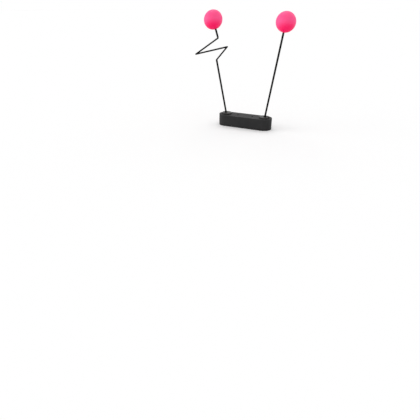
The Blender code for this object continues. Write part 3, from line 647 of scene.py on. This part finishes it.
def make_zigzag():
    """Rod of straight strokes that meet in sharp mitred bends, with a flare that stays in its tube."""
    node = "zigzag_rod_left"
    ear = EARS["left"]
    low = turned_size(node, ear)[0]
    flare = turned_size("lower_tube_left", ear)[2] - TUBE_WALL - RUN_GAP
    radius = flare - CRIMP_DEPTH
    tip = tip_frame("left")[0]
    ferrule_low = turned_size("tip_ferrule_left", tip)[0]
    top = ear.inverted() @ tip @ Vector((0, 0, ferrule_low + FERRULE_BORE_DEPTH - SEAT_GAP))
    corners = [Vector((0, low)), *ZIGZAG_BENDS, Vector((top.x, top.z))]
    headings = [(after - before).normalized() for before, after in zip(corners, corners[1:])]
    runs = [0.0, *np.cumsum([(after - before).length for before, after in zip(corners, corners[1:])])]
    form = new_form()
    foot = [(0, flare), (FLARE_LENGTH - CRIMP_DEPTH, flare), (FLARE_LENGTH, radius)]
    rings = [
        add_straight_ring(form, corners[0] + headings[0] * run, headings[0], size, run)
        for run, size in foot
    ]
    for bend, arriving, leaving, run in zip(ZIGZAG_BENDS, headings, headings[1:], runs[1:]):
        rings += add_bend_rings(form, bend, arriving, leaving, radius, run)
    rings.append(add_straight_ring(form, corners[-1], headings[-1], radius, runs[-1]))
    skin(form, rings)
    form.faces.new(rings[0])
    form.faces.new(rings[-1])
    bmesh.ops.remove_doubles(form, verts=form.verts, dist=WELD)
    stand_for(new_object(finished(node), form, ear), node)
    return radius


def make_broken_edges(node, width, matrix=Matrix()):
    """A node's own form with every outer edge broken by a small round."""
    form = new_form()
    form.from_mesh(NODES[node].data)
    form.transform(matrix.inverted())
    bmesh.ops.remove_doubles(form, verts=form.verts, dist=WELD)
    flat = math.radians(FLAT_ANGLE)
    bmesh.ops.dissolve_limit(form, angle_limit=flat, verts=form.verts, edges=form.edges)
    sharp = math.radians(EDGE_ANGLE)
    edges = [edge for edge in form.edges if edge.calc_face_angle_signed(0) > sharp]
    rounds = bmesh.ops.bevel(
        form,
        geom=edges,
        offset=width,
        offset_type="OFFSET",
        segments=EDGE_STEPS,
        profile=0.5,
        affect="EDGES",
        clamp_overlap=True,
    )
    round_faces = set(rounds["faces"])
    for vertex in form.verts:
        inside_round = round_faces.issuperset(vertex.link_faces)
        vertex[form.verts.layers.float["wear"]] = 1.0 if inside_round else 0.0
        vertex[form.verts.layers.float_vector["local_place"]] = vertex.co
    bmesh.ops.dissolve_degenerate(form, edges=form.edges, dist=WELD)
    piece = new_object(finished(node), form, matrix)
    normals = piece.modifiers.new("Normals", "WEIGHTED_NORMAL")
    normals.keep_sharp = True
    stand_for(piece, node)


def make_ears():
    zigzag_radius = make_zigzag()
    make_tube("lower_tube_left", "left")
    make_tube("outer_tube_right", "right")
    make_middle_tube()
    inner_radius = make_inner_rod()
    make_ferrule("left", zigzag_radius)
    make_ferrule("right", inner_radius)
    for side in SIDES:
        make_ball(side)
        make_broken_edges(f"knuckle_{side}", METAL_EDGE, EARS[side])
        for face in ("front", "back"):
            make_broken_edges(f"hinge_washer_{side}_{face}", SMALL_EDGE, EARS[side])


def make_turrets():
    for side in SIDES:
        make_broken_edges(f"turret_{side}", METAL_EDGE, TURRETS[side])
        for kind in ("hinge_pin", "wave_washer", "swivel_nut", "solder_lug"):
            make_broken_edges(f"{kind}_{side}", SMALL_EDGE, TURRETS[side])


def make_base():
    make_broken_edges("base_housing", MOULDED_EDGE)
    make_broken_edges("bottom_cover", MOULDED_EDGE)
    for i in range(1, 5):
        low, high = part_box(f"cover_screw_{i}")
        middle = (Vector(low) + Vector(high)) / 2
        make_broken_edges(f"cover_screw_{i}", SMALL_EDGE, Matrix.Translation(middle))
    for side in SIDES:
        low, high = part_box(f"terminal_screw_{side}")
        middle = (Vector(low) + Vector(high)) / 2
        axis = aligned(middle, (0, 1, 0), (1, 0, 0))
        for kind in ("terminal_screw", "terminal_clamp", "terminal_nut"):
            make_broken_edges(f"{kind}_{side}", METAL_EDGE, axis)
        make_broken_edges(f"lead_wire_{side}", SMALL_EDGE)


# Stage


def make_camera():
    pitch, yaw, roll = (math.radians(angle) for angle in (CAMERA_PITCH, CAMERA_YAW, CAMERA_ROLL))
    ahead = Vector((-math.sin(yaw), math.cos(yaw), 0))
    right = Vector((math.cos(yaw), math.sin(yaw), 0))
    up = Vector((0, 0, 1))
    forward = ahead * math.cos(pitch) - up * math.sin(pitch)
    lift = ahead * math.sin(pitch) + up * math.cos(pitch)
    x = right * math.cos(roll) + lift * math.sin(roll)
    y = lift * math.cos(roll) - right * math.sin(roll)
    data = bpy.data.cameras.new("camera")
    data.sensor_width = SENSOR_MM
    data.lens = SENSOR_MM * FOCAL_PIXELS / FRAME_PIXELS
    data.clip_start = CLIP_START
    camera = bpy.data.objects.new("camera", data)
    camera.matrix_world = Matrix((x, y, -forward)).transposed().to_4x4()
    camera.location = CAMERA_PLACE
    bpy.context.scene.collection.objects.link(camera)
    bpy.context.scene.camera = camera


def seen_directly(tree):
    """Factor that is 1 for rays from the camera and for those that gloss and glass send on."""
    path = tree.nodes.new("ShaderNodeLightPath")
    total = path.outputs["Is Camera Ray"]
    for name in ("Is Glossy Ray", "Is Transmission Ray"):
        total = add(tree, "Math", {0: total, 1: path.outputs[name]}, operation="MAXIMUM")
    return total


def make_floor():
    form = new_form()
    bmesh.ops.create_grid(form, x_segments=1, y_segments=1, size=FLOOR_HALF_SIZE)
    floor = new_object("floor", form, Matrix.Translation((0, 0, CAD_BOX[0].z)))
    tree, shader = new_look(
        "floor",
        Base_Color=(*FLOOR_COLOUR, 1),
        Roughness=1,
        Specular_IOR_Level=0,
        Emission_Color=(1, 1, 1, 1),
    )
    connect(tree, shader, Emission_Strength=times(tree, seen_directly(tree), FLOOR_LIFT))
    floor.data.materials.append(LOOKS["floor"])


def make_world():
    world = bpy.data.worlds.new("studio")
    world.use_nodes = True
    tree = world.node_tree
    background = tree.nodes["Background"]
    background.inputs["Color"].default_value = (1, 1, 1, 1)
    level = spread(tree, seen_directly(tree), AMBIENT, 1, 0, 1)
    tree.links.new(level, background.inputs["Strength"])
    bpy.context.scene.world = world


def make_lamp(name, direction, strength):
    """Wide soft lamp, far off in a direction, so that it lights the whole floor evenly."""
    data = bpy.data.lights.new(name, "SUN")
    data.angle = math.radians(LAMP_ANGLE)
    data.energy = strength
    lamp = bpy.data.objects.new(name, data)
    lamp.rotation_euler = (-Vector(direction)).to_track_quat("-Z", "Y").to_euler()
    bpy.context.scene.collection.objects.link(lamp)


ball_look()
rod_look()
turned_metal_look()
moulded_look()
brass_look()
steel_look()
sleeve_look()
make_camera()
make_floor()
make_world()
for lamp_name, (lamp_direction, lamp_strength) in LAMPS.items():
    make_lamp(lamp_name, lamp_direction, lamp_strength)
make_ears()
make_turrets()
make_base()

bpy.context.scene.view_settings.view_transform = "Standard"
